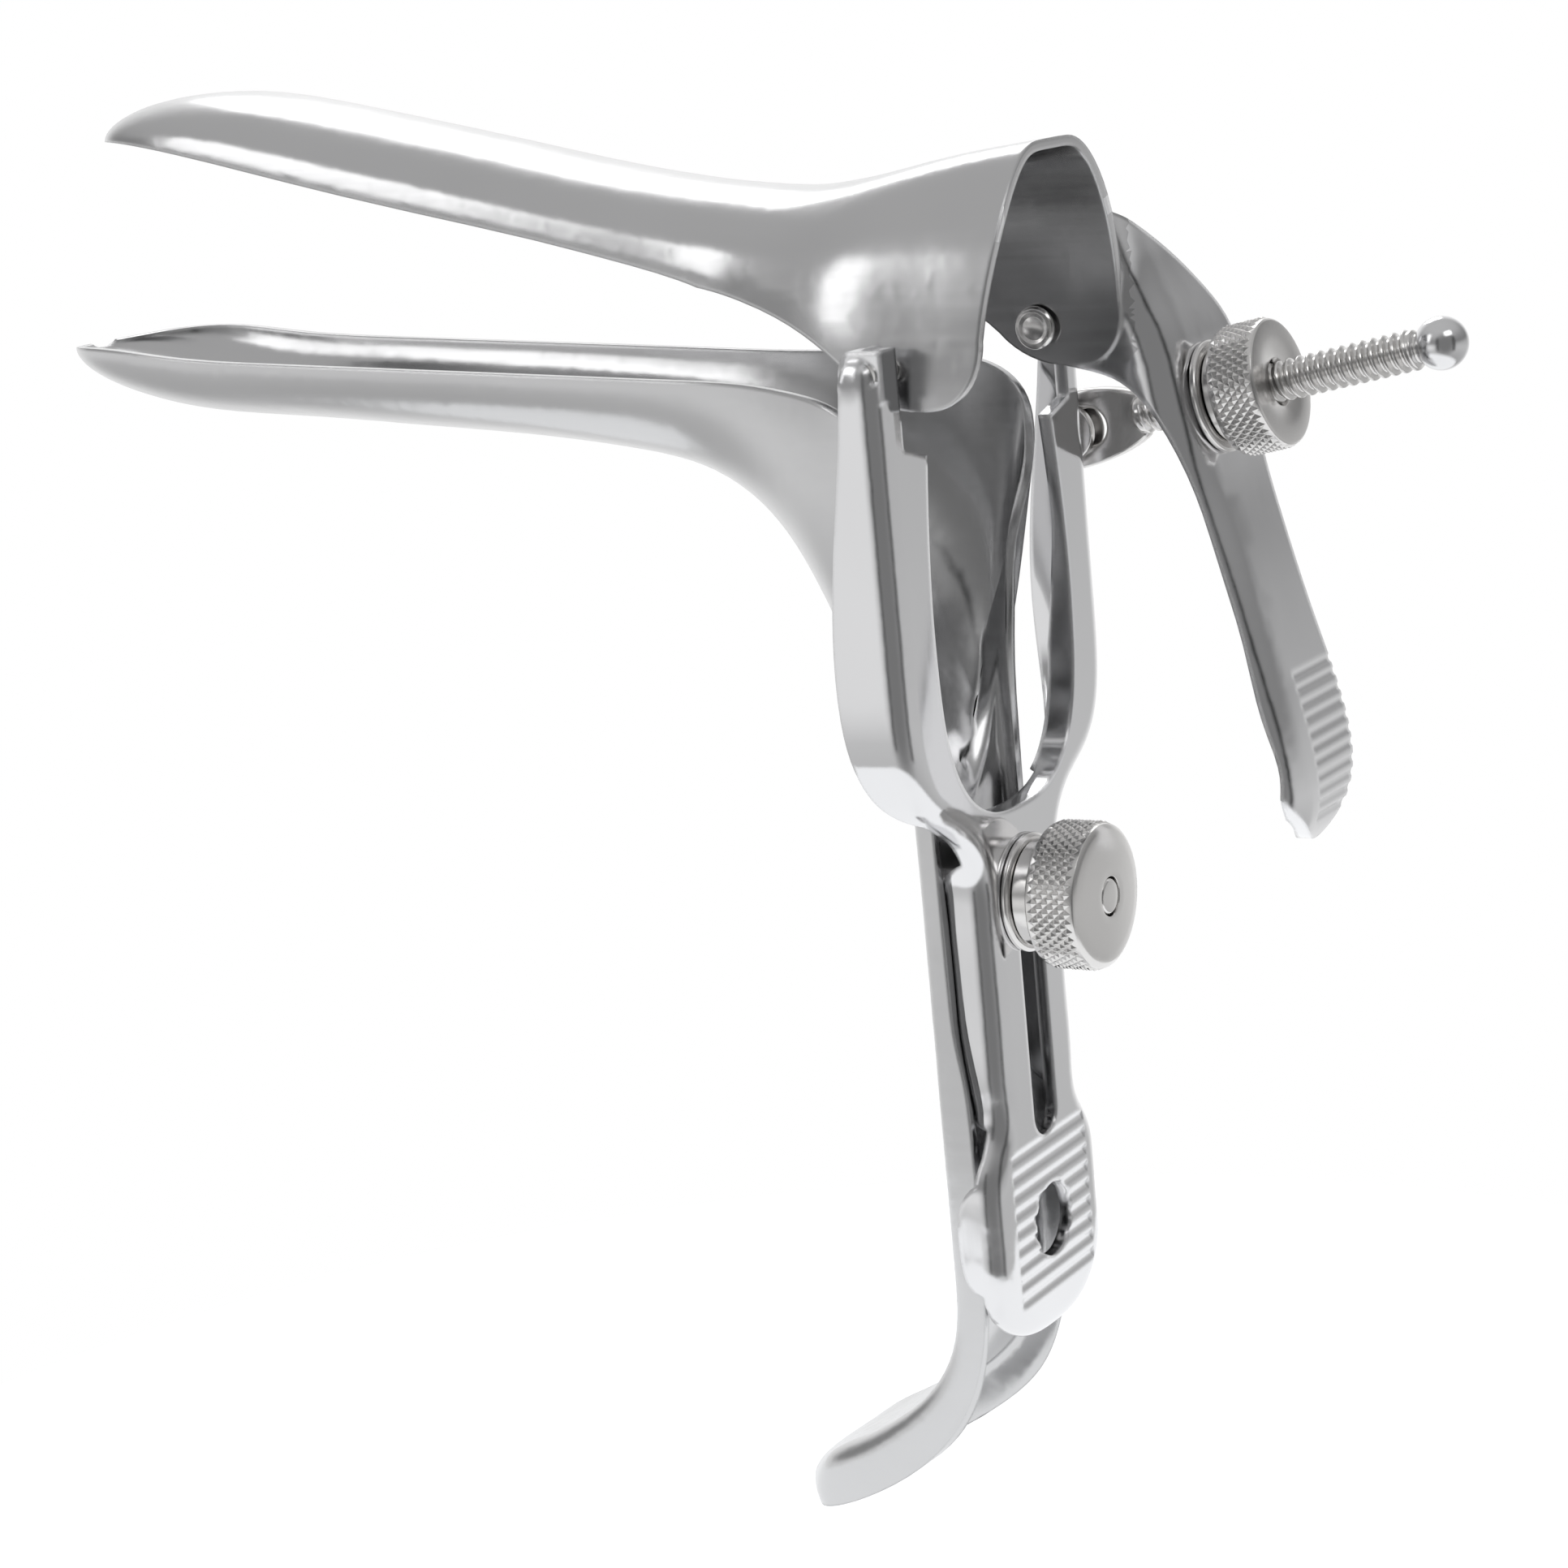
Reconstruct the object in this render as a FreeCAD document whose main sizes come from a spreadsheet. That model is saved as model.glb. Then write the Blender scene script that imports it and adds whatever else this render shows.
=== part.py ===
import FreeCAD, Part
import math
import os

from FreeCAD import Vector

# Bivalve speculum, narrow-bladed, held open by two hand screws.
# Frame: the origin is the centre of the hang hole on the rear face of the yoke's shank.
# X runs to the operator's right, Y runs forward to the blade tips, Z runs up the shank.

os.makedirs("parts", exist_ok=True)
doc = FreeCAD.newDocument("speculum")
sheet = doc.addObject("Spreadsheet::Sheet", "sizes")

SIZES = {
    "play": 0.05,                 # running clearance, radial
    "seat": 0.05,                 # gap between faces that rest on each other
    # yoke
    "yoke_sheet": 1.5,
    "shank_half": 8.9,
    "lobe_half": 12.2,
    "arm_half": 22.9,
    "arm_top": 100.4,
    "band_front": 6.6,
    "band_low": 12.0,
    "bend_radius": 2.6,
    "slot_half": 2.75,
    "slot_low": 12.7,
    "slot_high": 39.4,
    "hang_radius": 4.2,
    "fork_bottom": 47.6,
    "lip_front": 3.3,
    # upper blade pivot
    "pivot_y": 1.8,
    "pivot_z": 97.6,
    "pivot_radius": 1.2,
    "pad_radius": 3.3,
    "rivet_skin": 0.8,
    "ear_inner": 16.9,
    "ear_sheet": 1.2,
    # blades
    "blade_half": 12.5,
    "blade_sheet": 1.1,
    "throat_half": 18.0,
    "handle_half": 10.4,
    "handle_front": 8.2,
    # clamp screw
    "stud_z": 37.8,
    "stud_radius": 2.05,
    "clamp_washer_radius": 6.6,
    "clamp_washer_thick": 0.9,
    "clamp_collar_radius": 5.9,
    "clamp_collar_length": 2.6,
    "clamp_nut_radius": 8.2,
    "clamp_nut_length": 5.5,
    "clamp_crown": 1.1,
    # angle screw
    "eye_x": 25.0,
    "eye_y": 3.0,
    "eye_z": 84.8,
    "eye_pin_radius": 2.05,
    "eye_thick": 2.0,
    "eye_half": 4.4,
    "screw_rise": 11.0,
    "screw_radius": 2.3,
    "screw_start": 9.0,
    "screw_end": 42.6,
    "ball_radius": 2.9,
    "ball_at": 45.2,
    "lever_at": 18.1,
    "lever_sheet": 1.5,
    "lever_bend": 4.5,
    "lever_outer": 34.0,
    "angle_washer_radius": 6.3,
    "angle_washer_thick": 0.9,
    "angle_collar_radius": 5.3,
    "angle_collar_length": 1.4,
    "angle_nut_radius": 7.35,
    "angle_nut_length": 5.8,
}

for row, (alias, value) in enumerate(SIZES.items(), start=1):
    sheet.set("A%d" % row, alias)
    sheet.set("B%d" % row, repr(value))
    sheet.setAlias("B%d" % row, alias)
doc.recompute()


def size(alias):
    return float(getattr(sheet, alias))


# Small helpers for the formed sheets

def box(x0, x1, y0, y1, z0, z1):
    return Part.makeBox(x1 - x0, y1 - y0, z1 - z0, Vector(x0, y0, z0))


def rod(radius, x0, x1, y, z):
    return Part.makeCylinder(radius, abs(x1 - x0), Vector(min(x0, x1), y, z), Vector(1, 0, 0))


def spline(points):
    curve = Part.BSplineCurve()
    curve.interpolate(points)
    return curve.toShape()


def chain(groups):
    """A closed wire of splines; each group starts where the group before it ends."""
    edges = []
    for group in groups:
        if len(group) == 2:
            edges.append(Part.makeLine(group[0], group[1]))
        else:
            edges.append(spline(group))
    return Part.Wire(edges)


def front_plate(groups, y0, y1):
    """A plate from an outline in X and Z, between two values of Y."""
    wire = chain([[Vector(x, y0, z) for x, z in group] for group in groups])
    return Part.Face(wire).extrude(Vector(0, y1 - y0, 0))


def side_plate(groups, x0, x1):
    """A plate from an outline in Y and Z, between two values of X."""
    wire = chain([[Vector(x0, y, z) for y, z in group] for group in groups])
    return Part.Face(wire).extrude(Vector(x1 - x0, 0, 0))


def beside(points, distance):
    """The same line moved sideways, to the left of its heading."""
    curve = Part.BSplineCurve()
    curve.interpolate([Vector(a, 0, b) for a, b in points])
    moved = []
    for a, b in points:
        heading = curve.tangent(curve.parameter(Vector(a, 0, b)))[0]
        moved.append((a - heading.z * distance, b + heading.x * distance))
    return moved


def mirrored(shape):
    return shape.mirror(Vector(0, 0, 0), Vector(1, 0, 0))


def both(shape):
    return shape.fuse(mirrored(shape))


def half_curve(rim, bottom, half, power, count, lean=0.0):
    """Points of one cross section, from the left rim through the bottom to the right rim."""
    points = []
    for k in range(count):
        angle = math.pi * k / (count - 1)
        across = -math.copysign(abs(math.cos(angle)) ** (2.0 / power), math.cos(angle))
        down = abs(math.sin(angle)) ** (2.0 / power)
        across *= 1 - lean * down ** 2.2
        y = rim[0] + (bottom[0] - rim[0]) * down
        z = rim[1] + (bottom[1] - rim[1]) * down
        points.append(Vector(half * across, y, z))
    return points


def channel_curve(rim, bottom, half, corner, count):
    """A channel section: two side walls, two round corners and a flat web.

    Near the throat the rim lies well above the web, and the section hangs down in between.
    """
    deep = math.hypot(bottom[0] - rim[0], bottom[1] - rim[1])
    hanging = rim[1] > bottom[1] + 1.0 and rim[0] < 6
    if hanging:
        deep = bottom[0] - rim[0]
    path = [(-half, 0.0), (-half, (deep - corner) / 2), (-half, deep - corner)]
    for k in range(1, 6):
        turn = math.pi / 2 * k / 6
        path.append((-half + corner * (1 - math.cos(turn)), deep - corner * (1 - math.sin(turn))))
    for k in range(9):
        path.append(((half - corner) * (k / 4.0 - 1), deep))
    path += [(-a, b) for a, b in reversed(path[:8])]
    lengths = [0.0]
    for first, second in zip(path, path[1:]):
        lengths.append(lengths[-1] + math.dist(first, second))
    points = []
    for (across, sunk), length in zip(path, lengths):
        share = sunk / deep
        fall = math.sin(math.pi * length / lengths[-1]) ** 0.8 if hanging else share
        if length in (0.0, lengths[-1]):
            fall = 0.0
        y = rim[0] + (bottom[0] - rim[0]) * share
        z = rim[1] + (bottom[1] - rim[1]) * fall
        points.append(Vector(across, y, z))
    return points


def even(points, count):
    """The same curve with points at even steps along its length."""
    curve = Part.BSplineCurve()
    curve.interpolate(points)
    return curve.discretize(Number=count)


def formed_sheet(sections, thickness, count, inward):
    """A sheet whose outer face is given by sections; it thins only where a tip closes to a point."""
    grid = [even(points, count) for points in sections]
    outer = Part.BSplineSurface()
    outer.interpolate(grid)
    inner_grid = []
    for row in grid:
        inner_row = []
        wide = max(point.x for point in row)
        wall = thickness * min(1.0, 0.25 + 0.075 * wide)
        for point in row:
            u, v = outer.parameter(point)
            inner_row.append(point + outer.normal(u, v) * (inward * wall))
        inner_grid.append(inner_row)
    inner = Part.BSplineSurface()
    inner.interpolate(inner_grid)
    faces = [outer.toShape(), inner.toShape()]
    for pick in ("low_u", "high_u", "low_v", "high_v"):
        faces.append(Part.makeRuledSurface(border(outer, pick), border(inner, pick)))
    shell = Part.makeShell(faces)
    shell.sewShape()
    solid = Part.makeSolid(shell)
    if solid.Volume < 0:
        solid.reverse()
    return solid


def border(surface, pick):
    u0, u1, v0, v1 = surface.bounds()
    if pick == "low_u":
        return surface.uIso(u0).toShape()
    if pick == "high_u":
        return surface.uIso(u1).toShape()
    if pick == "low_v":
        return surface.vIso(v0).toShape()
    return surface.vIso(v1).toShape()


def feature(name, shape):
    item = doc.addObject("Part::Feature", name)
    item.Label = name
    item.Shape = shape
    return item


# Lower blade: tip, trough, throat, handle and foot are one formed sheet.
# Each section is rim (y, z), bottom (y, z), half width, and how square it is.

blade = size("blade_half")
throat = size("throat_half")
grip = size("handle_half")
front = size("handle_front")

LOWER = [
    ((122.9, 101.6), (123.1, 101.0), 2.2, 2.0),
    ((122.0, 101.7), (122.4, 99.9), 5.2, 2.0),
    ((119.6, 101.9), (120.2, 98.3), 8.4, 2.0),
    ((115.6, 102.0), (116.2, 96.5), 10.9, 2.1),
    ((110.0, 101.7), (110.3, 94.7), blade - 0.3, 2.2),
    ((102.0, 100.7), (102.0, 93.2), blade, 2.3),
    ((88.0, 99.6), (88.0, 92.1), blade, 2.3),
    ((72.0, 98.7), (72.0, 90.8), blade, 2.3),
    ((56.0, 97.8), (56.0, 89.4), blade, 2.3),
    ((42.0, 97.0), (42.2, 87.6), blade, 2.3),
    ((31.0, 96.4), (31.8, 84.9), blade + 0.1, 2.3),
    ((22.6, 96.0), (24.9, 80.6), blade + 1.2, 2.4),
    ((16.2, 95.4), (20.2, 75.6), blade + 3.1, 2.5),
    ((11.4, 94.6), (16.9, 70.4), throat - 0.8, 2.6),
    ((7.6, 93.0), (14.4, 65.2), throat, 2.7),
    ((4.9, 90.1), (12.4, 60.2), throat, 2.8),
    ((3.7, 85.9), (10.9, 55.6), throat - 1.0, 2.9),
    ((3.8, 80.8), (9.8, 51.8), throat - 3.0, 3.0),
]

# The handle and the foot: rim, web, half width and corner radius.
HANDLE = [
    ((4.7, 75.6), (9.2, 50.2), throat - 4.9, 3.0),
    ((5.1, 69.2), (8.8, 48.4), grip + 1.7, 2.7),
    ((5.3, 62.8), (8.5, 46.2), grip + 0.9, 2.4),
    ((5.3, 56.4), (front + 0.1, 43.6), grip + 0.4, 2.2),
    ((5.2, 49.6), (front, 40.6), grip + 0.1, 1.9),
    ((5.2, 42.6), (front, 37.2), grip, 1.9),
    ((5.2, 36.0), (front, 33.4), grip, 1.9),
    ((5.1, 29.6), (front, 29.0), grip, 1.9),
    ((4.9, 24.0), (front, 24.0), grip, 1.9),
    ((4.1, 18.6), (front, 18.6), grip, 1.9),
    ((3.8, 12.0), (front, 12.0), grip, 1.9),
    ((3.7, 4.0), (front, 4.0), grip, 1.9),
    ((3.8, -4.0), (front, -4.0), grip, 1.9),
    ((4.3, -10.6), (front + 0.3, -9.8), grip, 1.9),
    ((6.0, -17.0), (10.0, -14.8), grip, 1.9),
    ((9.4, -23.0), (13.3, -19.4), grip, 1.9),
    ((14.2, -27.8), (17.7, -23.0), grip - 0.1, 2.0),
    ((20.0, -31.6), (22.9, -26.2), grip - 0.4, 2.2),
    ((25.6, -34.4), (28.0, -29.0), grip - 1.4, 2.6),
]

# The round end of the foot.
TOE = [
    ((29.8, -36.0), (31.6, -31.4), grip - 3.4, 2.6),
    ((31.6, -36.5), (33.1, -32.9), grip - 5.8, 2.5),
    ((32.7, -36.4), (33.9, -34.0), grip - 8.0, 2.3),
]

lower_sections = []
for rim, bottom, half, power in LOWER:
    lower_sections.append(half_curve(rim, bottom, half, power, 41))
for rim, bottom, half, bend in HANDLE:
    lower_sections.append(channel_curve(rim, bottom, half, bend, 41))
for rim, bottom, half, power in TOE:
    lower_sections.append(half_curve(rim, bottom, half, power, 41))
lower = formed_sheet(lower_sections, size("blade_sheet"), 33, 1)
stud_axis = Vector(0, 1, 0)
stud_at = Vector(0, 5, size("stud_z"))
lower = lower.cut(Part.makeCylinder(size("stud_radius"), 6, stud_at, stud_axis))
feature("lower_blade", lower)

# Yoke: the web is cut from the full outline, then the side walls are left standing forward of it.

skin = size("yoke_sheet")
shank = size("shank_half")
lobe = size("lobe_half")
arm = size("arm_half")
top = size("arm_top")
ear_out = size("ear_inner") + size("ear_sheet")
horn_in = ear_out + 0.55
band_low = size("band_low")
fork = size("fork_bottom")


def flip(points):
    return [(-x, z) for x, z in reversed(points)]


lobe_side = [(lobe - 2.4, -9.6), (lobe - 0.3, -6.0), (lobe, -1.0), (lobe, 4.0), (lobe - 0.3, 7.4)]
lobe_side += [(shank + 1.5, band_low - 1.6), (shank + 0.15, band_low + 0.8), (shank, band_low + 5)]
straight = [(shank, band_low + 12), (shank, band_low + 19), (shank, 37)]
shoulder = [(shank + 0.1, 40.4), (shank + 1.1, 43.6), (shank + 3.7, 46.6), (17.0, 49.2)]
shoulder += [(20.4, 52.4), (arm - 0.6, 57.0), (arm, 63)]
arm_side = [(arm, 70), (arm, 78), (arm, 86), (arm, 93), (arm - 0.1, top - 3.6)]
corner = [(arm - 0.7, top - 1.5), (arm - 1.9, top - 0.4), (arm - 3.4, top)]
fork_side = [(6.2, fork + 0.7), (11.0, fork + 3.5), (14.2, fork + 9), (15.4, fork + 17)]
fork_side += [(15.5, fork + 25), (14.9, fork + 33), (13.9, 88.2)]
fork_right = [(0, fork)] + fork_side
side = [(5.4, -12.3)] + lobe_side + straight + shoulder + arm_side + corner
outer_line = flip(side) + [(0, -12.9)] + side
fork_line = flip(fork_right) + fork_right[1:]
fork_line.reverse()
closed = [outer_line, [outer_line[-1], outer_line[0]]]

body = front_plate(closed, 0, 9.5)
rear_edges = []
for edge in body.Edges:
    low = edge.BoundBox
    if low.YMax < 0.001 and low.ZMin < top - 1:
        rear_edges.append(edge)
body = body.makeFillet(size("bend_radius"), rear_edges)
inner_line = beside(outer_line, skin)
inside = front_plate([inner_line, [inner_line[-1], inner_line[0]]], skin, 11)
inside_edges = []
for edge in inside.Edges:
    low = edge.BoundBox
    if low.YMax < skin + 0.001 and low.ZMin < top - 3:
        inside_edges.append(edge)
inside = inside.makeFillet(size("bend_radius") - skin, inside_edges)
body = body.cut(inside)
# Rolled lip round the bottom of the fork.
lip_line = beside(fork_line, 1.4)
lip = front_plate([lip_line, [lip_line[-1], lip_line[0]]], 0.2, size("lip_front"))
lip_trim = [
    [(1.2, 79), (size("lip_front"), 62)],
    [(size("lip_front"), 62), (12, 62)],
    [(12, 62), (12, 95)],
    [(12, 95), (1.2, 95)],
    [(1.2, 95), (1.2, 79)],
]
lip = lip.cut(side_plate(lip_trim, -30, 30))
body = body.fuse(lip)
opening = [
    [(-horn_in, top + 5), (-horn_in, 89.6)],
    [(-horn_in, 89.6), (-13.9, 88.2)],
    list(reversed(fork_line)),
    [(13.9, 88.2), (horn_in, 89.6)],
    [(horn_in, 89.6), (horn_in, top + 5)],
    [(horn_in, top + 5), (-horn_in, top + 5)],
]
body = body.cut(front_plate(opening, -1, 11))

# The side walls are trimmed to the depth seen from the side.
depth = size("band_front")
front_edge = [
    [(1.9, -20), (1.9, -12.6)],
    [(1.9, -12.6), (2.6, -10.8), (3.1, -8.2)],
    [(3.1, -8.2), (3.1, -5.4)],
    [(3.1, -5.4), (4.4, -4.6), (5.4, -1.6), (5.5, 2), (4.9, 5.2), (3.2, 7.4)],
    [(3.2, 7.4), (3.0, 8.6), (2.7, 10.2)],
    [(2.7, 10.2), (2.7, 12.9)],
    [(2.7, 12.9), (4.6, 13.9), (6.1, 15.6), (depth, 18.4)],
    [(depth, 18.4), (depth, 36.9)],
    [(depth, 36.9), (6.1, 39.8), (4.6, 41.9), (2.6, 43.2)],
    [(2.6, 43.2), (2.6, 49.2)],
    [(2.6, 49.2), (5.0, 50.6), (6.8, 54.4), (7.9, 61), (8.0, 70), (6.9, 80), (5.5, 89), (4.7, 96)],
    [(4.7, 96), (4.2, 98.6), (2.9, 100.0), (1.2, top + 0.1)],
    [(1.2, top + 0.1), (1.2, top + 9)],
    [(1.2, top + 9), (20, top + 9)],
    [(20, top + 9), (20, -20)],
    [(20, -20), (1.9, -20)],
]
body = body.cut(side_plate(front_edge, -30, 30))

# Pivot pads on the inner side of the arms, above the step; their bores stop short of the outer face.
py = size("pivot_y")
pz = size("pivot_z")
pad = rod(size("pad_radius"), horn_in, arm - 1.0, py, pz)
pad = pad.fuse(box(horn_in, arm - 1.0, 0.4, 4.2, pz - 3.0, pz + 1.4))
pad = pad.common(box(0, 40, 0, 20, 0, top - 0.3))
body = body.fuse(both(pad))
pivot_bore = rod(size("pivot_radius") + 0.01, horn_in - 3, arm - size("rivet_skin"), py, pz)
body = body.cut(both(pivot_bore))

# Slot, hang hole and finger grooves of the yoke.
slot = size("slot_half")
low_end = size("slot_low")
high_end = size("slot_high")
slot_cut = box(-slot, slot, -1, 5, low_end, high_end)
for z in (low_end, high_end):
    slot_cut = slot_cut.fuse(Part.makeCylinder(slot, 6, Vector(0, -1, z), stud_axis))
body = body.cut(slot_cut)
body = body.cut(Part.makeCylinder(size("hang_radius"), 6, Vector(0, -1, 0), stud_axis))
for k in range(9):
    z = 9.4 - 2.05 * k
    groove = Part.makeCylinder(1.2, 2 * lobe - 7, Vector(3.5 - lobe, -0.98, z), Vector(1, 0, 0))
    body = body.cut(groove)
eye_hole = rod(1.41, arm - 5, arm + 2, size("eye_y"), size("eye_z"))
body = body.cut(eye_hole)
yoke = body
feature("yoke", yoke)

# Upper blade: tip, trough and hood with two ears, then the thumb lever on the right side.

UPPER = [
    ((114.0, 126.2), (113.8, 126.8), 2.2, 2.0),
    ((113.2, 126.1), (112.9, 127.8), 5.0, 2.0),
    ((111.0, 126.0), (110.6, 128.9), 8.2, 2.0),
    ((107.4, 125.9), (106.8, 129.9), 10.8, 2.1),
    ((102.6, 125.3), (102.0, 130.4), blade - 0.4, 2.2),
    ((95.5, 123.8), (95.2, 130.2), blade, 2.3),
    ((84.0, 120.9), (84.0, 128.3), blade, 2.3),
    ((72.0, 117.9), (72.0, 125.6), blade, 2.3),
    ((60.0, 115.1), (60.0, 122.8), blade, 2.3),
    ((48.0, 112.3), (48.0, 119.9), blade, 2.3),
    ((38.0, 109.7), (38.0, 117.8), blade, 2.3),
    ((30.0, 107.4), (30.0, 116.5), blade + 0.1, 2.3),
    ((24.0, 105.0), (24.0, 115.8), blade + 0.7, 2.35),
    ((19.0, 101.6), (19.0, 115.5), blade + 2.0, 2.4),
    ((14.4, 97.4), (14.3, 115.8), blade + 3.4, 2.5),
    ((9.8, 93.4), (9.4, 116.4), blade + 4.5, 3.0, 0.10),
    ((5.0, 90.8), (4.0, 117.3), ear_out - 0.55, 3.7, 0.24),
    ((0.0, 89.6), (-2.0, 118.2), ear_out - 0.4, 4.5, 0.37),
    ((-6.0, 89.4), (-8.0, 118.8), ear_out - 0.35, 5.0, 0.46),
    ((-12.5, 89.4), (-14.5, 119.3), ear_out - 0.35, 5.0, 0.48),
]
upper_sections = []
for rim, crest, half, power, *lean in UPPER:
    upper_sections.append(half_curve(rim, crest, half, power, 41, *lean))
hood = formed_sheet(upper_sections, size("blade_sheet"), 33, -1)
below = [
    [(30.0, 106.9), (25.0, 105.9), (21.3, 104.9), (17.6, 103.7), (13.6, 102.0), (9.6, 99.6), (6.6, 97.0)],
    [(6.6, 97.0), (4.4, 95.0), (1.6, 93.7), (-2.0, 93.2), (-5.4, 93.8), (-7.6, 96.0), (-8.6, 100.0)],
    [(-8.6, 100.0), (-9.3, 106.5), (-9.9, 113.0), (-9.6, 123.0)],
    [(-9.6, 123.0), (-25, 123)],
    [(-25, 123), (-25, 80)],
    [(-25, 80), (30, 80)],
    [(30, 80), (30.0, 106.9)],
]
hood = hood.cut(side_plate(below, -30, 30))

ear_in = size("ear_inner")
rise = math.radians(size("screw_rise"))
eye_y = size("eye_y")
eye_z = size("eye_z")
along = Vector(0, -math.cos(rise), math.sin(rise))
down = Vector(0, -math.sin(rise), -math.cos(rise))
eye = Vector(size("eye_x"), eye_y, eye_z)
seat = eye + along * size("lever_at")
metal = size("lever_sheet")
high = seat - down * 7.4
low = seat + down * 7.4
# Rear line of the lever from the hood to the finger grooves; it is straight where the washer bears.
back = [(-9.6, 113.0), (-10.0, 106.8), (-11.3, 101.2)]
back += [(high.y, high.z), ((high.y + seat.y) / 2, (high.z + seat.z) / 2), (seat.y, seat.z)]
back += [((low.y + seat.y) / 2, (low.z + seat.z) / 2), (low.y, low.z)]
back += [(-19.1, 70.5), (-21.5, 61.5), (-23.8, 52.5), (-24.8, 46.8)]
back += [(-24.7, 42.3), (-23.6, 39.2), (-21.9, 36.9)]
back_curve = Part.BSplineCurve()
back_curve.interpolate([Vector(0, y, z) for y, z in back])
rear_points = back_curve.discretize(Number=400)
outer_x = size("lever_outer")
bend = size("lever_bend")


def flank_x(z):
    """Inner side of the right ear at this height; it leans inward with the hood."""
    ear = UPPER[-2]
    rise_share = max(0.0, (z - ear[0][1]) / (ear[1][1] - ear[0][1]))
    round_off = math.sqrt(1 - rise_share ** ear[3]) ** (2.0 / ear[3])
    return ear[2] * round_off * (1 - ear[4] * rise_share ** 2.2) - size("blade_sheet") + 0.12


def rear_y(z):
    """Place of the lever's rear face at this height, a seat's gap in front of the washer."""
    for first, second in zip(rear_points, rear_points[1:]):
        if first.z >= z > second.z:
            share = (first.z - z) / (first.z - second.z)
            return first.y + (second.y - first.y) * share + size("seat")


# The flank and the lever are one sheet, bent round a long corner that runs down from the hood.
bent = []
for z in (112, 109, 106, 103, 100, 97, 94, 90, 86, 82, 78, 73, 68, 63, 58, 53, 49, 45.5, 42.5, 40, 37.5):
    y = rear_y(z)
    x = flank_x(z)
    points = [Vector(x, 4 + (y + bend - 4) * k / 6.0, z) for k in range(6)]
    for k in range(9):
        turn = math.pi / 2 * k / 8
        points.append(Vector(x + bend * (1 - math.cos(turn)), y + bend * (1 - math.sin(turn)), z))
    for k in range(1, 7):
        points.append(Vector(x + bend + (outer_x + 1 - x - bend) * k / 6.0, y, z))
    bent.append(points)
lever = formed_sheet(bent, metal, 45, -1)
paddle = [
    [(10, 112), (13.0, 110.6), (17.5, 108.6), (23.0, 105.8), (29.0, 101.5), (outer_x - 0.8, 95.5), (outer_x, 88),
     (outer_x - 0.4, 78), (outer_x - 1.0, 68), (outer_x - 0.4, 59), (outer_x, 51), (outer_x - 1.4, 44.0),
     (outer_x - 5, 39.8), (25.8, 38.4), (22.0, 39.8), (ear_in + 1.2, 43.6), (ear_in - 0.4, 49.5)],
    [(ear_in - 0.4, 49.5), (10, 52)],
    [(10, 52), (10, 112)],
]
lever = lever.common(front_plate(paddle, -60, 60))
flank = [
    [(-19.5, 36), (-21.0, 38.4), (-22.2, 41.2), (-22.7, 44.0), (-22.8, 47.4), (-21.5, 52.6), (-19.5, 61.8),
     (-17.2, 70.8), (-15.0, 78.5), (-12.9, 84.0), (-10.2, 88.6), (-7.0, 91.4), (-3.6, 92.6), (0.0, 93.4)],
    [(0.0, 93.4), (-2.5, 99.0)],
    [(-2.5, 99.0), (-5.5, 114)],
    [(-5.5, 114), (20, 114)],
    [(20, 114), (20, 36)],
    [(20, 36), (-19.5, 36)],
]
lever = lever.cut(side_plate(flank, 0, ear_in + bend))
play = size("play")
thread = size("screw_radius")
half_open = thread + 0.35
window = Part.makeCylinder(half_open, 12, seat - along * 6 - down * 2.2, along)
window = window.fuse(Part.makeCylinder(half_open, 12, seat - along * 6 + down * 2.4, along))
corner_at = seat - along * 6 - down * 2.2
wide = Vector(half_open, 0, 0)
frame = [corner_at - wide, corner_at + wide, corner_at + wide + down * 4.6, corner_at - wide + down * 4.6]
gate = Part.Face(Part.makePolygon(frame + [frame[0]])).extrude(along * 12)
lever = lever.cut(window.fuse(gate))
# Finger grooves low on the rear face.
for k in range(11):
    z = 57.5 - 1.62 * k
    spot = next(point for point in rear_points if point.z < z)
    groove_at = Vector(23.5, spot.y - 0.5, spot.z)
    lever = lever.cut(Part.makeCylinder(0.75, 13, groove_at, Vector(1, 0, 0)))
upper = hood.fuse(lever)
upper = upper.cut(both(rod(size("pivot_radius") + play, 10, 20, py, pz)))
feature("upper_blade", upper)

# Small pieces: plain solids whose sizes are bound to the sheet.

REAR = FreeCAD.Rotation(Vector(1, 0, 0), 90)
RIGHT = FreeCAD.Rotation(Vector(0, 1, 0), 90)
UP_SCREW = FreeCAD.Rotation(Vector(0, 0, 1), along)


def bind(item, name, expression):
    item.setExpression(name, expression)


def cylinder(name, radius, height):
    item = doc.addObject("Part::Cylinder", name)
    bind(item, "Radius", radius)
    bind(item, "Height", height)
    return item


def cone(name, first, second, height):
    item = doc.addObject("Part::Cone", name)
    bind(item, "Radius1", first)
    bind(item, "Radius2", second)
    bind(item, "Height", height)
    return item


def behind(item, y):
    """On the clamp axis; the piece runs rearward from y."""
    item.Placement = FreeCAD.Placement(Vector(0, 0, 0), REAR)
    bind(item, "Placement.Base.y", y)
    bind(item, "Placement.Base.z", "sizes.stud_z")
    return item


def sideways(item, x, y, z):
    """Along X; the piece runs to the right from x."""
    item.Placement = FreeCAD.Placement(Vector(0, 0, 0), RIGHT)
    bind(item, "Placement.Base.x", x)
    bind(item, "Placement.Base.y", y)
    bind(item, "Placement.Base.z", z)
    return item


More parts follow.
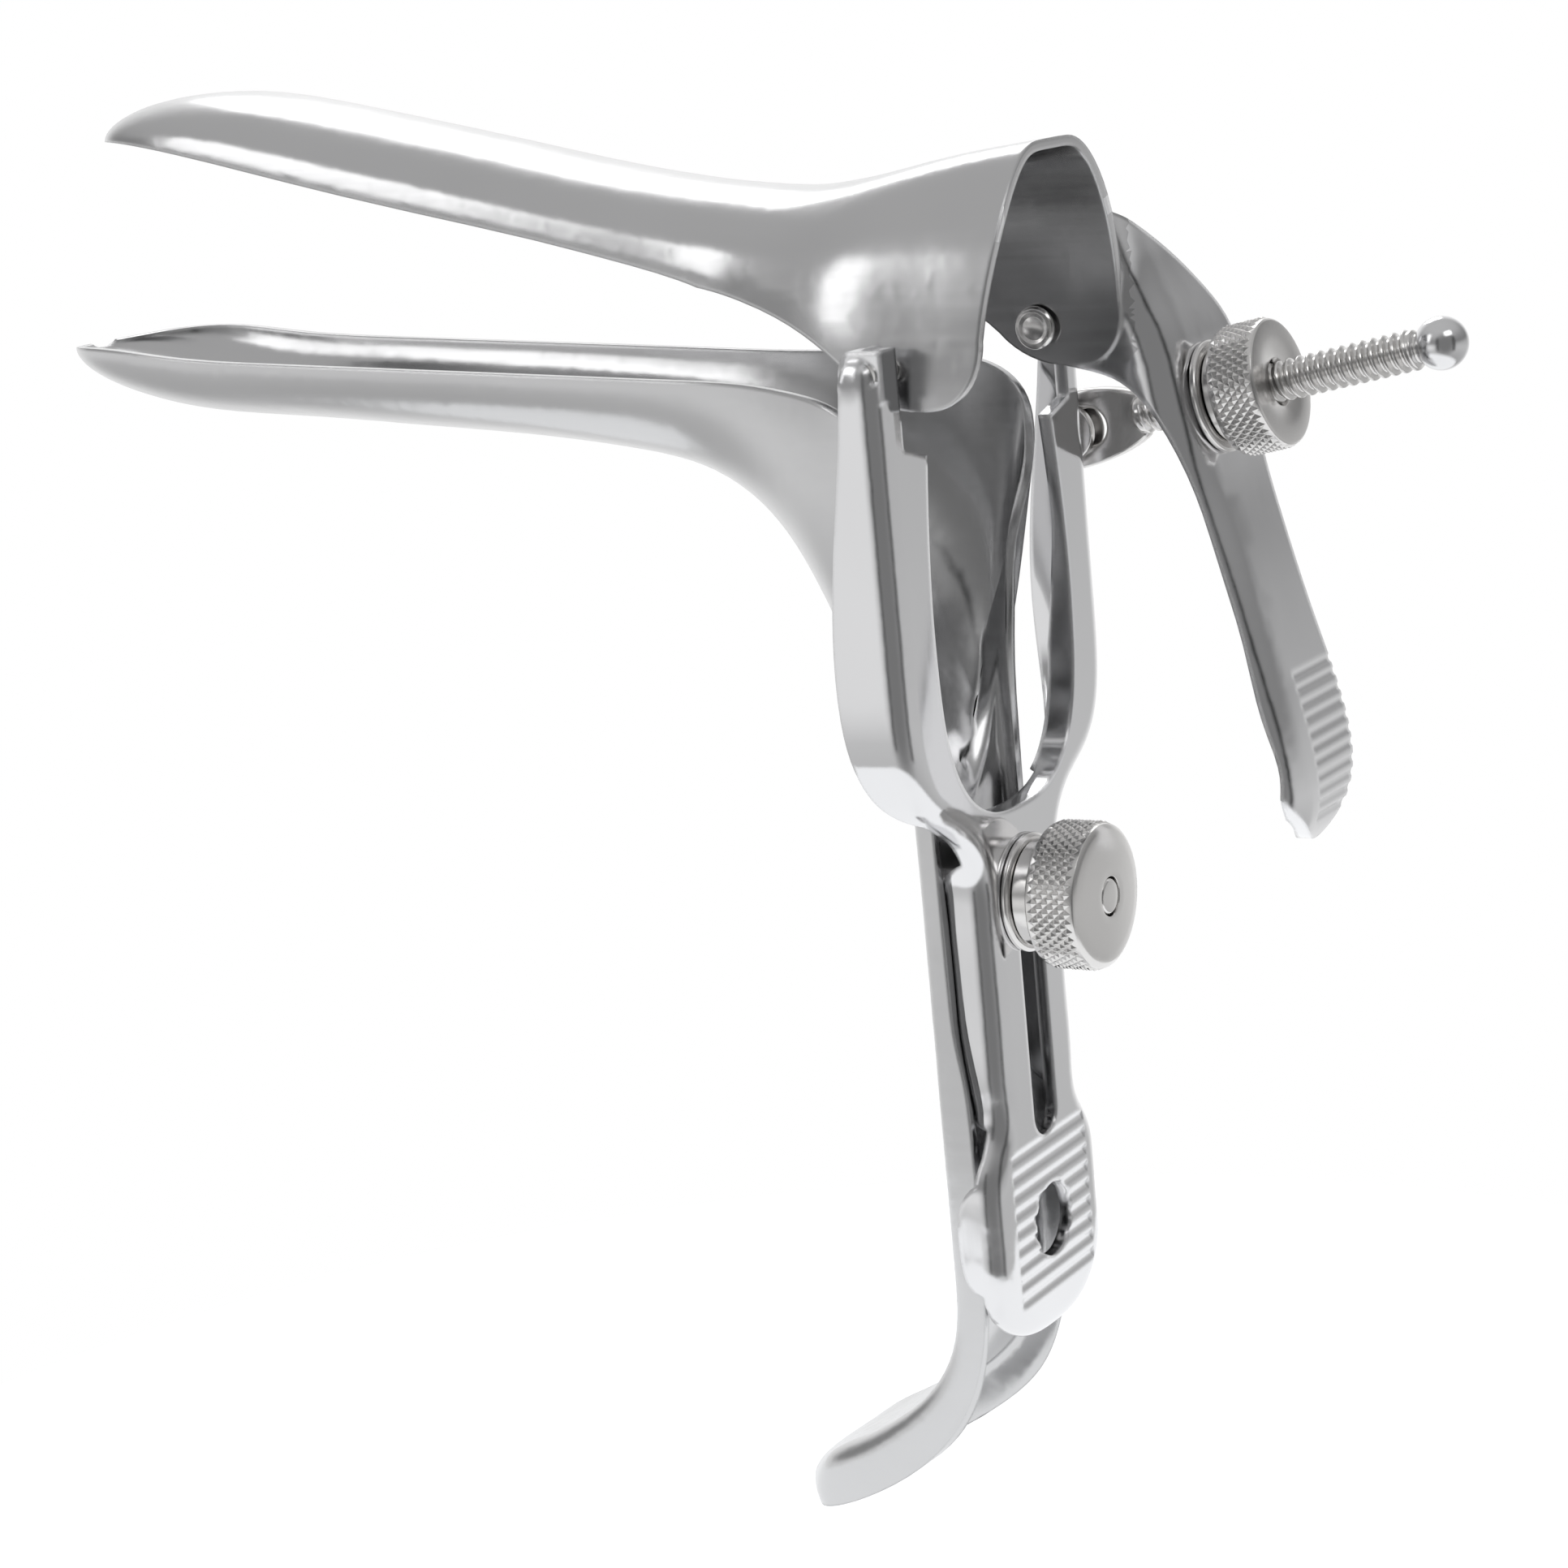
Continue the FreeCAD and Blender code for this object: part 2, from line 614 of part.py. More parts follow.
def on_screw(item, at):
    """On the angle screw; the piece runs to the rear from this distance behind the eye."""
    item.Placement = FreeCAD.Placement(Vector(0, 0, 0), UP_SCREW)
    bind(item, "Placement.Base.x", "sizes.eye_x")
    bind(item, "Placement.Base.y", "sizes.eye_y - (%s) * cos(sizes.screw_rise * 1deg)" % at)
    bind(item, "Placement.Base.z", "sizes.eye_z + (%s) * sin(sizes.screw_rise * 1deg)" % at)
    return item


def joined(name, items):
    item = doc.addObject("Part::MultiFuse", name)
    item.Shapes = items
    return item


def bored(name, base, tool):
    item = doc.addObject("Part::Cut", name)
    item.Base = base
    item.Tool = tool
    return item


# Clamp stud, washer and nut, stacked rearward from the shank.
WASHER_BACK = "sizes.seat + sizes.clamp_washer_thick"
COLLAR_AT = WASHER_BACK + " + sizes.seat"
KNURL_AT = COLLAR_AT + " + sizes.clamp_collar_length"
CROWN_AT = KNURL_AT + " + sizes.clamp_nut_length"
STUD_END = CROWN_AT + " + sizes.clamp_crown"

stud_head = behind(cone("stud_head", "2.2", "3.2", "1.1"), "sizes.handle_front + sizes.seat + 1.1")
stud_neck = behind(cylinder("stud_neck", "sizes.stud_radius - 0.02", "2"), "sizes.handle_front + 0.5")
stud_rod = cylinder("stud_rod", "sizes.stud_radius - 0.02", "sizes.handle_front + " + STUD_END)
stud_rod = behind(stud_rod, "sizes.handle_front")
clamp_stud = joined("clamp_stud", [stud_head, stud_neck, stud_rod])

ring = behind(cylinder("ring", "sizes.clamp_washer_radius", "sizes.clamp_washer_thick"), "-sizes.seat")
ring_bore = behind(cylinder("ring_bore", "sizes.stud_radius + sizes.play", "9"), "3")
clamp_washer = bored("clamp_washer", ring, ring_bore)

CLAMP = "sizes.clamp_nut_radius"
collar = cylinder("collar", "sizes.clamp_collar_radius", "sizes.clamp_collar_length + 1")
collar = behind(collar, "-(%s)" % COLLAR_AT)
bevel_a = behind(cone("bevel_a", CLAMP + " - 0.7", CLAMP, "0.7"), "-(%s)" % KNURL_AT)
barrel = cylinder("barrel", CLAMP, "sizes.clamp_nut_length - 1.4")
barrel = behind(barrel, "-(%s + 0.7)" % KNURL_AT)
bevel_b = behind(cone("bevel_b", CLAMP, CLAMP + " - 0.7", "0.7"), "-(%s - 0.7)" % CROWN_AT)
crown = behind(cone("crown", CLAMP + " - 0.7", "3.2", "sizes.clamp_crown"), "-(%s)" % CROWN_AT)
clamp_solid = joined("clamp_solid", [collar, bevel_a, barrel, bevel_b, crown])
clamp_bore = behind(cylinder("clamp_bore", "sizes.stud_radius + sizes.play", "30"), "5")
clamp_nut = bored("clamp_nut", clamp_solid, clamp_bore)

# Pivot rivets through the ears and the pads of the yoke.
PIVOT = ("sizes.pivot_y", "sizes.pivot_z")
HEAD_IN = "sizes.ear_inner - 2.2"
HEAD_OUT = "sizes.ear_inner - 1.4"
SHAFT_END = "sizes.arm_half - sizes.rivet_skin - 0.02"
SHAFT_LONG = "(%s) - (%s)" % (SHAFT_END, HEAD_OUT)
head_r = sideways(cone("head_r", "1.7", "2.4", "0.8"), HEAD_IN, *PIVOT)
shaft_r = sideways(cylinder("shaft_r", "sizes.pivot_radius", SHAFT_LONG), HEAD_OUT, *PIVOT)
pivot_rivet_right = joined("pivot_rivet_right", [head_r, shaft_r])
head_l = sideways(cone("head_l", "2.4", "1.7", "0.8"), "-(%s)" % HEAD_OUT, *PIVOT)
shaft_l = sideways(cylinder("shaft_l", "sizes.pivot_radius", SHAFT_LONG), "-(%s)" % SHAFT_END, *PIVOT)
pivot_rivet_left = joined("pivot_rivet_left", [head_l, shaft_l])

# Eye rivet on the outer side of the right arm.
EYE = ("sizes.eye_y", "sizes.eye_z")
PLATE_IN = "sizes.eye_x - sizes.eye_thick / 2"
PLATE_OUT = "sizes.eye_x + sizes.eye_thick / 2"
tail = cylinder("tail", "1.4", "sizes.yoke_sheet + 0.5")
tail = sideways(tail, "sizes.arm_half - sizes.yoke_sheet", *EYE)
spacer = cylinder("spacer", "3.2", "(%s) - sizes.arm_half - 2 * sizes.seat" % PLATE_IN)
spacer = sideways(spacer, "sizes.arm_half + sizes.seat", *EYE)
pin = sideways(cylinder("pin", "sizes.eye_pin_radius", "sizes.eye_thick + 1.3"), PLATE_IN + " - 0.9", *EYE)
cap = sideways(cone("cap", "3.3", "2.6", "0.9"), PLATE_OUT + " + sizes.seat", *EYE)
eye_rivet = joined("eye_rivet", [tail, spacer, pin, cap])

# Angle screw: a flat eye with a long hole, then the threaded rod and the spigot of the ball.
reach = size("screw_start")
wide_end = size("eye_half")
outline_up = [(-wide_end, 0), (-3.1, 3.1), (0, wide_end)]
outline_up += [(3.6, wide_end - 0.25), (6.8, 3.5), (reach + 0.4, 2.4)]
outline_low = [(u, -w) for u, w in reversed(outline_up)]


def plate_point(u, w, x):
    return eye + along * u - down * w + Vector(x, 0, 0)


def plate_line(points, x):
    return spline([plate_point(u, w, x) for u, w in points])


flat = size("eye_thick")
near_x = -flat / 2
rim_up = plate_line(outline_up, near_x)
rim_low = plate_line(outline_low, near_x)
end_up = plate_point(reach + 0.4, 2.4, near_x)
end_low = plate_point(reach + 0.4, -2.4, near_x)
rim_end = Part.makeLine(end_up, end_low)
eye_plate = Part.Face(Part.Wire([rim_up, rim_end, rim_low])).extrude(Vector(flat, 0, 0))
hole_half = size("eye_pin_radius") + play
for shift in (0.0, 2.5):
    centre = plate_point(shift, 0, -flat)
    eye_plate = eye_plate.cut(Part.makeCylinder(hole_half, 2 * flat, centre, Vector(1, 0, 0)))
gap = [plate_point(0, hole_half, -flat), plate_point(2.5, hole_half, -flat)]
gap += [plate_point(2.5, -hole_half, -flat), plate_point(0, -hole_half, -flat), plate_point(0, hole_half, -flat)]
eye_plate = eye_plate.cut(Part.Face(Part.makePolygon(gap)).extrude(Vector(2 * flat, 0, 0)))
eye_item = doc.addObject("Part::Feature", "eye_plate")
eye_item.Shape = eye_plate
screw_rod = cylinder("screw_rod", "sizes.screw_radius", "sizes.screw_end - sizes.screw_start - 0.7")
screw_rod = on_screw(screw_rod, "sizes.screw_start")
screw_neck = cylinder("screw_neck", "1.45", "sizes.ball_at - sizes.screw_end + 1")
screw_neck = on_screw(screw_neck, "sizes.screw_end - 1")
angle_screw = joined("angle_screw", [eye_item, screw_rod, screw_neck])

ball = doc.addObject("Part::Sphere", "ball")
bind(ball, "Radius", "sizes.ball_radius")
on_screw(ball, "sizes.ball_at")
socket = on_screw(cylinder("socket", "1.46", "4"), "sizes.ball_at - 3.95")
stop_ball = bored("stop_ball", ball, socket)

# Thrust washer and angle nut behind the lever.
THRUST_AT = "sizes.lever_at + sizes.seat"
NUT_AT = THRUST_AT + " + sizes.angle_washer_thick + sizes.seat"
GRIP_AT = NUT_AT + " + sizes.angle_collar_length"
GRIP_END = GRIP_AT + " + sizes.angle_nut_length"
disc = cylinder("disc", "sizes.angle_washer_radius", "sizes.angle_washer_thick")
disc = on_screw(disc, THRUST_AT)
disc_bore = cylinder("disc_bore", "sizes.screw_radius + sizes.play", "30")
disc_bore = on_screw(disc_bore, "sizes.lever_at - 10")
thrust_washer = bored("thrust_washer", disc, disc_bore)
ANGLE = "sizes.angle_nut_radius"
sleeve = cylinder("sleeve", "sizes.angle_collar_radius", "sizes.angle_collar_length + 1")
sleeve = on_screw(sleeve, NUT_AT)
bevel_c = on_screw(cone("bevel_c", ANGLE + " - 0.6", ANGLE, "0.6"), GRIP_AT)
drum = cylinder("drum", ANGLE, "sizes.angle_nut_length - 1.2")
drum = on_screw(drum, GRIP_AT + " + 0.6")
bevel_d = on_screw(cone("bevel_d", ANGLE, ANGLE + " - 0.6", "0.6"), GRIP_END + " - 0.6")
angle_solid = joined("angle_solid", [sleeve, bevel_c, drum, bevel_d])
angle_bore = cylinder("angle_bore", "sizes.screw_radius + sizes.play", "40")
angle_bore = on_screw(angle_bore, "sizes.lever_at - 10")
angle_nut = bored("angle_nut", angle_solid, angle_bore)

doc.recompute()

PIECES = [
    "lower_blade", "clamp_stud", "clamp_washer", "clamp_nut", "yoke", "pivot_rivet_left", "pivot_rivet_right",
    "eye_rivet", "upper_blade", "angle_screw", "stop_ball", "thrust_washer", "angle_nut",
]
for name in PIECES:
    item = doc.getObject(name)
    if "Invalid" in item.State or "Error" in item.State:
        raise RuntimeError("%s did not build" % name)
    if item.Shape.isNull() or not item.Shape.isValid():
        raise RuntimeError("%s has a bad shape" % name)
    item.Label = name
    item.Shape.exportStep("parts/%s.step" % name)
    print(name, len(item.Shape.Solids), round(item.Shape.Volume, 1), item.Shape.BoundBox)
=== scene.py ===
# %% [markdown]
# # A bivalve speculum in polished steel
# The part comes in as exact solids: two sheet-metal blades, the yoke that
# carries them, and the small turned pieces of the two hand screws. This lesson
# gives the solids their steel, models the turned pieces again with their knurls
# and threads, and sets up the studio. Every length in the scene is in metres.

# %% Load the exact solids
import math

import bmesh
import bpy
from mathutils import Matrix, Vector


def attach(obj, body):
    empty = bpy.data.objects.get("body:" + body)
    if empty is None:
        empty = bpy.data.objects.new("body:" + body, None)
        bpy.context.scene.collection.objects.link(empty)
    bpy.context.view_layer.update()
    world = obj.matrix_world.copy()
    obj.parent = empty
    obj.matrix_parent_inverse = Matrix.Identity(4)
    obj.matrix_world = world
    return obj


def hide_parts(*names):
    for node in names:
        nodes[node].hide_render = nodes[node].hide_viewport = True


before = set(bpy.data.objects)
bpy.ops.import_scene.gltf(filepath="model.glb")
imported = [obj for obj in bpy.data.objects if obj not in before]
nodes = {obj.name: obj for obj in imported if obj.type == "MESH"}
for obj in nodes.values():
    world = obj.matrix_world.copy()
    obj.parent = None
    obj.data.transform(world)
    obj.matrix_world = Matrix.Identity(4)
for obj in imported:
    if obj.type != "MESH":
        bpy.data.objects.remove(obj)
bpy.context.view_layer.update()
print("loaded", len(nodes), "solids")

# %% [markdown]
# ## Small helpers
# An operator acts on all that is selected, so each step first clears the
# selection. Millimetres read better than metres on an object of this size, and
# one value turns them into metres.

# %% Units and selection
MM = 0.001
MERGE = 0.002 * MM


def deselect():
    if bpy.context.object and bpy.context.object.mode != "OBJECT":
        bpy.ops.object.mode_set(mode="OBJECT")
    bpy.ops.object.select_all(action="DESELECT")


def choose(piece):
    deselect()
    piece.select_set(True)
    bpy.context.view_layer.objects.active = piece


def select_where(piece, test):
    """In edit mode, selects only the vertices whose place passes the test."""
    bpy.ops.mesh.select_mode(type="VERT")
    bpy.ops.mesh.select_all(action="DESELECT")
    mesh = bmesh.from_edit_mesh(piece.data)
    for vertex in mesh.verts:
        vertex.select = test(vertex.co)
    mesh.select_flush_mode()
    bmesh.update_edit_mesh(piece.data)


deselect()
print("nothing is selected now")

# %% [markdown]
# ## Turned pieces
# A washer, a rivet and the body of a nut are turned on a lathe. The same shape
# comes from a circle that is extruded along the axis and resized after each
# step, so the profile is a plain list of distances and radii. The bevel
# modifier then breaks every sharp edge a little, as a deburring wheel does.
# Edges that are bright lines in a photograph come from exactly this.

# %% The lathe
ROUND = 96
SHARP = math.radians(30)
SMOOTH = math.radians(28)


def circle(name, radius, count, fill="NGON"):
    deselect()
    bpy.ops.mesh.primitive_circle_add(vertices=count, radius=radius * MM, fill_type=fill)
    piece = bpy.context.object
    piece.name = name
    return piece


def pull(steps, start):
    """Extrudes the selected ring through (distance, radius) steps in millimetres."""
    along, radius = start
    for next_along, next_radius in steps:
        move = (0, 0, (next_along - along) * MM)
        bpy.ops.mesh.extrude_region_move(TRANSFORM_OT_translate={"value": move})
        grow = next_radius / radius
        bpy.ops.transform.resize(value=(grow, grow, 1), center_override=(0, 0, next_along * MM))
        along, radius = next_along, next_radius


def soften(piece, width, segments=3):
    choose(piece)
    bevel = piece.modifiers.new("edges", "BEVEL")
    bevel.width = width * MM
    bevel.segments = segments
    bevel.limit_method = "ANGLE"
    bevel.angle_limit = SHARP
    bpy.ops.object.modifier_apply(modifier=bevel.name)


def turned(name, profile, edge, closed=False):
    """A lathe piece on the Z axis. A closed profile leaves a bore."""
    along, radius = profile[0]
    piece = circle(name, radius, ROUND, "NOTHING" if closed else "NGON")
    bpy.ops.object.mode_set(mode="EDIT")
    bpy.ops.mesh.select_all(action="SELECT")
    bpy.ops.transform.translate(value=(0, 0, along * MM))
    pull(profile[1:], profile[0])
    bpy.ops.mesh.select_all(action="SELECT")
    bpy.ops.mesh.remove_doubles(threshold=MERGE)
    bpy.ops.mesh.normals_make_consistent(inside=False)
    bpy.ops.object.mode_set(mode="OBJECT")
    soften(piece, edge)
    return piece


def lay(piece, place):
    """Puts a piece where it belongs and leaves its object at the origin."""
    choose(piece)
    piece.matrix_world = place
    bpy.ops.object.transform_apply(location=True, rotation=True, scale=True)
    bpy.ops.object.shade_smooth_by_angle(angle=SMOOTH)


def unite(name, pieces):
    choose(pieces[0])
    for piece in pieces[1:]:
        piece.select_set(True)
    bpy.ops.object.join()
    whole = bpy.context.object
    whole.name = name
    return whole


print("the lathe is ready")

# %% [markdown]
# ## Where the small pieces sit
# The clamp screw points to the rear, along minus Y. The angle screw leaves its
# eye towards the rear and rises 11 degrees. A matrix whose Z column is the
# screw's own direction carries each turned piece to its place.

# %% Axes of the two hand screws
def columns(x, y, z, at):
    turn = Matrix((x, y, z)).transposed().to_4x4()
    return Matrix.Translation(at) @ turn


STUD_Z = 37.8
PIVOT = Vector((0, 1.8, 97.6)) * MM
RISE = math.radians(11)
along = Vector((0, -math.cos(RISE), math.sin(RISE)))
upward = Vector((0, math.sin(RISE), math.cos(RISE)))
right = Vector((1, 0, 0))
eye = Vector((25.0, 3.0, 84.8)) * MM
above = Vector((0, 0, 1))
rearward = Vector((0, -1, 0))
on_clamp = columns(right, above, rearward, Vector((0, 0, STUD_Z * MM)))
on_angle = columns(right, upward, along, eye)
print("clamp axis", on_clamp.col[2][:3], "angle axis", on_angle.col[2][:3])

# %% [markdown]
# ## Steel
# Four finishes make the whole object. The yoke is buffed to a mirror, and the
# lever nearly so. The blades are brushed to a satin. The turned pieces keep a
# light machined sheen. Each finish is one metal shader, with fine noise in its
# roughness and in its bump: stretched noise for brush lines, and a slow wave for
# the hand of the polisher. The Bevel node rounds sharp sheet edges in the
# shading alone.

# %% A metal with brush lines and wear
BRUSH_SCALE = 900
CLOUD_SCALE = 45
WAVE_SCALE = 60
EVEN = (1, 1, 1)
DULLED = 0.93
BRUSH_DEPTH = 0.02 * MM
WAVE_DEPTH = 0.4 * MM
NOISE_LOW = 0.3
NOISE_HIGH = 0.7


def steel(name, tint, gloss, wave, brush, stretch, edge):
    """A steel whose roughness runs between the two gloss values. Its edge is in millimetres."""
    material = bpy.data.materials.new(name)
    material.use_nodes = True
    tree = material.node_tree
    shader = tree.nodes["Principled BSDF"]
    shader.inputs["Metallic"].default_value = 1.0
    place = tree.nodes.new("ShaderNodeTexCoord")

    def noise(scale, shape, detail):
        mapping = tree.nodes.new("ShaderNodeMapping")
        mapping.inputs["Scale"].default_value = shape
        tree.links.new(place.outputs["Object"], mapping.inputs["Vector"])
        grain = tree.nodes.new("ShaderNodeTexNoise")
        grain.inputs["Scale"].default_value = scale
        grain.inputs["Detail"].default_value = detail
        tree.links.new(mapping.outputs["Vector"], grain.inputs["Vector"])
        return grain.outputs["Fac"]

    def spread(source, low, high):
        ramp = tree.nodes.new("ShaderNodeMapRange")
        ramp.inputs["From Min"].default_value = NOISE_LOW
        ramp.inputs["From Max"].default_value = NOISE_HIGH
        ramp.inputs["To Min"].default_value = low
        ramp.inputs["To Max"].default_value = high
        tree.links.new(source, ramp.inputs["Value"])
        return ramp.outputs["Result"]

    lines = noise(BRUSH_SCALE, stretch, 3)
    clouds = noise(CLOUD_SCALE, EVEN, 4)
    # The mean of both noises drives the roughness.
    both_noises = tree.nodes.new("ShaderNodeMath")
    both_noises.operation = "MULTIPLY_ADD"
    both_noises.inputs[1].default_value = 0.5
    tree.links.new(lines, both_noises.inputs[0])
    half = tree.nodes.new("ShaderNodeMath")
    half.operation = "MULTIPLY"
    half.inputs[1].default_value = 0.5
    tree.links.new(clouds, half.inputs[0])
    tree.links.new(half.outputs["Value"], both_noises.inputs[2])
    roughness = spread(both_noises.outputs["Value"], gloss[0], gloss[1])
    tree.links.new(roughness, shader.inputs["Roughness"])

    colours = tree.nodes.new("ShaderNodeMix")
    colours.data_type = "RGBA"
    colours.inputs["A"].default_value = (*[t * DULLED for t in tint], 1)
    colours.inputs["B"].default_value = (*tint, 1)
    tree.links.new(clouds, colours.inputs["Factor"])
    tree.links.new(colours.outputs["Result"], shader.inputs["Base Color"])

    rounded = tree.nodes.new("ShaderNodeBevel")
    rounded.samples = 6
    rounded.inputs["Radius"].default_value = edge * MM
    slow = tree.nodes.new("ShaderNodeBump")
    slow.inputs["Strength"].default_value = wave
    slow.inputs["Distance"].default_value = WAVE_DEPTH
    tree.links.new(noise(WAVE_SCALE, EVEN, 1), slow.inputs["Height"])
    tree.links.new(rounded.outputs["Normal"], slow.inputs["Normal"])
    fine = tree.nodes.new("ShaderNodeBump")
    fine.inputs["Strength"].default_value = brush
    fine.inputs["Distance"].default_value = BRUSH_DEPTH
    tree.links.new(lines, fine.inputs["Height"])
    tree.links.new(slow.outputs["Normal"], fine.inputs["Normal"])
    tree.links.new(fine.outputs["Normal"], shader.inputs["Normal"])
    return material


UPRIGHT_LINES = (1, 1, 0.08)
LENGTHWAYS_LINES = (1, 0.05, 1)
mirror_steel = steel(
    "mirror_steel", (0.78, 0.78, 0.79), (0.05, 0.11), 0.015, 0.06, UPRIGHT_LINES, 0.8)
satin_steel = steel(
    "satin_steel", (0.62, 0.62, 0.625), (0.17, 0.25), 0.015, 0.14, LENGTHWAYS_LINES, 0.6)
lever_steel = steel(
    "lever_steel", (0.84, 0.84, 0.85), (0.08, 0.14), 0.01, 0.06, UPRIGHT_LINES, 0.9)
machined_steel = steel(
    "machined_steel", (0.74, 0.73, 0.72), (0.16, 0.26), 0.0, 0.25, EVEN, 0.12)
print("finishes", [m.name for m in (mirror_steel, satin_steel, lever_steel, machined_steel)])

# %% [markdown]
# ## Dressing the solids
# The three pieces of sheet metal keep their exact shape and only get a finish.

# %% Dress the sheet-metal solids
def dress(piece, material):
    piece.data.materials.clear()
    piece.data.materials.append(material)


SHEETS = {"yoke": mirror_steel, "lower_blade": satin_steel, "upper_blade": satin_steel}
for node, material in SHEETS.items():
    dress(nodes[node], material)
    print(node, "wears", material.name)

# %% [markdown]
# The lever belongs to the upper blade and is polished brighter. It takes over
# below the ear's lower rim, and behind the hood's rear rim. The limits are
# millimetres.

# %% Polish the lever
EAR_BOTTOM = 93.3
LEVER_TOP = 112
HOOD_REAR = -9.6
HOOD_SIDE = 18.0
LEVER_SIDE = 16
upper_blade = nodes["upper_blade"]
upper_blade.data.materials.append(lever_steel)
for face in upper_blade.data.polygons:
    spot = face.center / MM
    below_ear = spot.z < EAR_BOTTOM and spot.x > LEVER_SIDE
    past_rim = spot.y < HOOD_REAR or spot.x > HOOD_SIDE
    behind_hood = EAR_BOTTOM <= spot.z < LEVER_TOP and past_rim
    if below_ear or behind_hood:
        face.material_index = 1
print("polished faces", sum(face.material_index for face in upper_blade.data.polygons))

# %% [markdown]
# ## Diamond knurls
# A knurl is a lattice of small pyramids pressed into a wall by two crossed
# wheels. Poking each face of a plain grid puts a vertex in its middle, and
# dissolving the grid's own edges then leaves diamonds. A second poke with an
# offset raises every diamond to a point. This gives the real pattern with a few
# faces a diamond. The ends of the wall are then extruded to the nut's faces.

# %% The knurling wheel
def knurled(name, radius, low, high, count, rows, tooth, top_profile, bottom_profile):
    """A nut with its knurl between low and high; the two profiles meet in the bore."""
    piece = circle(name, radius, count, "NOTHING")
    bpy.ops.object.mode_set(mode="EDIT")
    bpy.ops.mesh.select_all(action="SELECT")
    bpy.ops.transform.translate(value=(0, 0, low * MM))
    step = (high - low) / rows
    pull([(low + step * (k + 1), radius) for k in range(rows)], (low, radius))
    bpy.ops.mesh.select_all(action="SELECT")
    bpy.ops.mesh.normals_make_consistent(inside=False)
    before = len(bmesh.from_edit_mesh(piece.data).verts)
    bpy.ops.mesh.poke()
    bpy.ops.mesh.select_mode(type="EDGE")
    bpy.ops.mesh.select_all(action="DESELECT")
    mesh = bmesh.from_edit_mesh(piece.data)
    mesh.verts.index_update()
    for edge in mesh.edges:
        first, second = edge.verts
        on_grid = first.index < before and second.index < before
        edge.select = on_grid and len(edge.link_faces) == 2
    mesh.select_flush_mode()
    bmesh.update_edit_mesh(piece.data)
    bpy.ops.mesh.dissolve_edges(use_verts=False)
    bpy.ops.mesh.select_mode(type="FACE")
    mesh = bmesh.from_edit_mesh(piece.data)
    for face in mesh.faces:
        face.select = len(face.verts) == 4
    bmesh.update_edit_mesh(piece.data)
    bpy.ops.mesh.poke(offset=tooth * MM)
    select_where(piece, lambda co: co.z > (high - 0.001) * MM)
    pull(top_profile, (high, radius))
    near = 0.001 * MM
    rim = (radius - 0.01) * MM
    select_where(
        piece, lambda co: abs(co.z - low * MM) < near and math.hypot(co.x, co.y) > rim)
    pull(bottom_profile, (low, radius))
    bpy.ops.mesh.select_all(action="SELECT")
    bpy.ops.mesh.remove_doubles(threshold=MERGE)
    bpy.ops.mesh.normals_make_consistent(inside=False)
    bpy.ops.object.mode_set(mode="OBJECT")
    return piece


TOOTH = 0.30
ROWS = 4
# The clamp nut: 16.4 mm across, with a crowned rear face.
clamp_crown = [(9.35, 7.85), (9.55, 7.6), (9.72, 7.2), (9.9, 6.0), (10.04, 4.4), (10.12, 3.2)]
clamp_crown += [(10.16, 2.5), (10.1, 2.2), (9.3, 2.1)]
clamp_collar = [(3.8, 7.85), (3.66, 7.7), (3.6, 7.4), (3.55, 5.9), (1.15, 5.9), (1.0, 5.75)]
clamp_collar += [(1.0, 2.1), (9.3, 2.1)]
clamp_nut = knurled(
    "clamp_nut_knurled", 7.9, 3.95, 9.15, 48, ROWS, TOOTH, clamp_crown, clamp_collar)
lay(clamp_nut, on_clamp)
dress(clamp_nut, machined_steel)
print("clamp nut has", len(clamp_nut.data.polygons), "faces")

# %% [markdown]
# The nut of the angle screw is a little smaller, with its collar to the front.

# %% The angle nut
angle_crown = [(26.1, 7.0), (26.25, 6.8), (26.3, 6.4), (26.3, 5.2), (26.25, 3.2), (26.0, 2.7)]
angle_crown += [(25.4, 2.36)]
angle_collar = [(20.75, 7.0), (20.65, 6.8), (20.6, 6.4), (20.55, 5.3), (19.3, 5.3), (19.16, 5.1)]
angle_collar += [(19.16, 2.36), (25.4, 2.36)]
angle_nut = knurled(
    "angle_nut_knurled", 7.05, 20.85, 25.95, 44, ROWS, TOOTH, angle_crown, angle_collar)
lay(angle_nut, on_angle)
dress(angle_nut, machined_steel)
print("angle nut has", len(angle_nut.data.polygons), "faces")

# %% [markdown]
# ## Thread of the angle screw
# The Screw modifier sweeps one pitch of the thread's outline round the axis and
# climbs by the same pitch each turn, so the outline joins its own start on the
# next turn. The real rod has a coarse thread with rounded crests, 1.25 mm apart.

# %% One pitch, swept
PITCH = 1.25
TURNS = 26
STEPS = 36


def single_vertex(name, at):
    deselect()
    bpy.ops.mesh.primitive_plane_add(size=MM)
    piece = bpy.context.object
    piece.name = name
    bpy.ops.object.mode_set(mode="EDIT")
    bpy.ops.mesh.select_all(action="SELECT")
    bpy.ops.mesh.merge(type="CENTER")
    bpy.ops.transform.translate(value=at)
    return piece


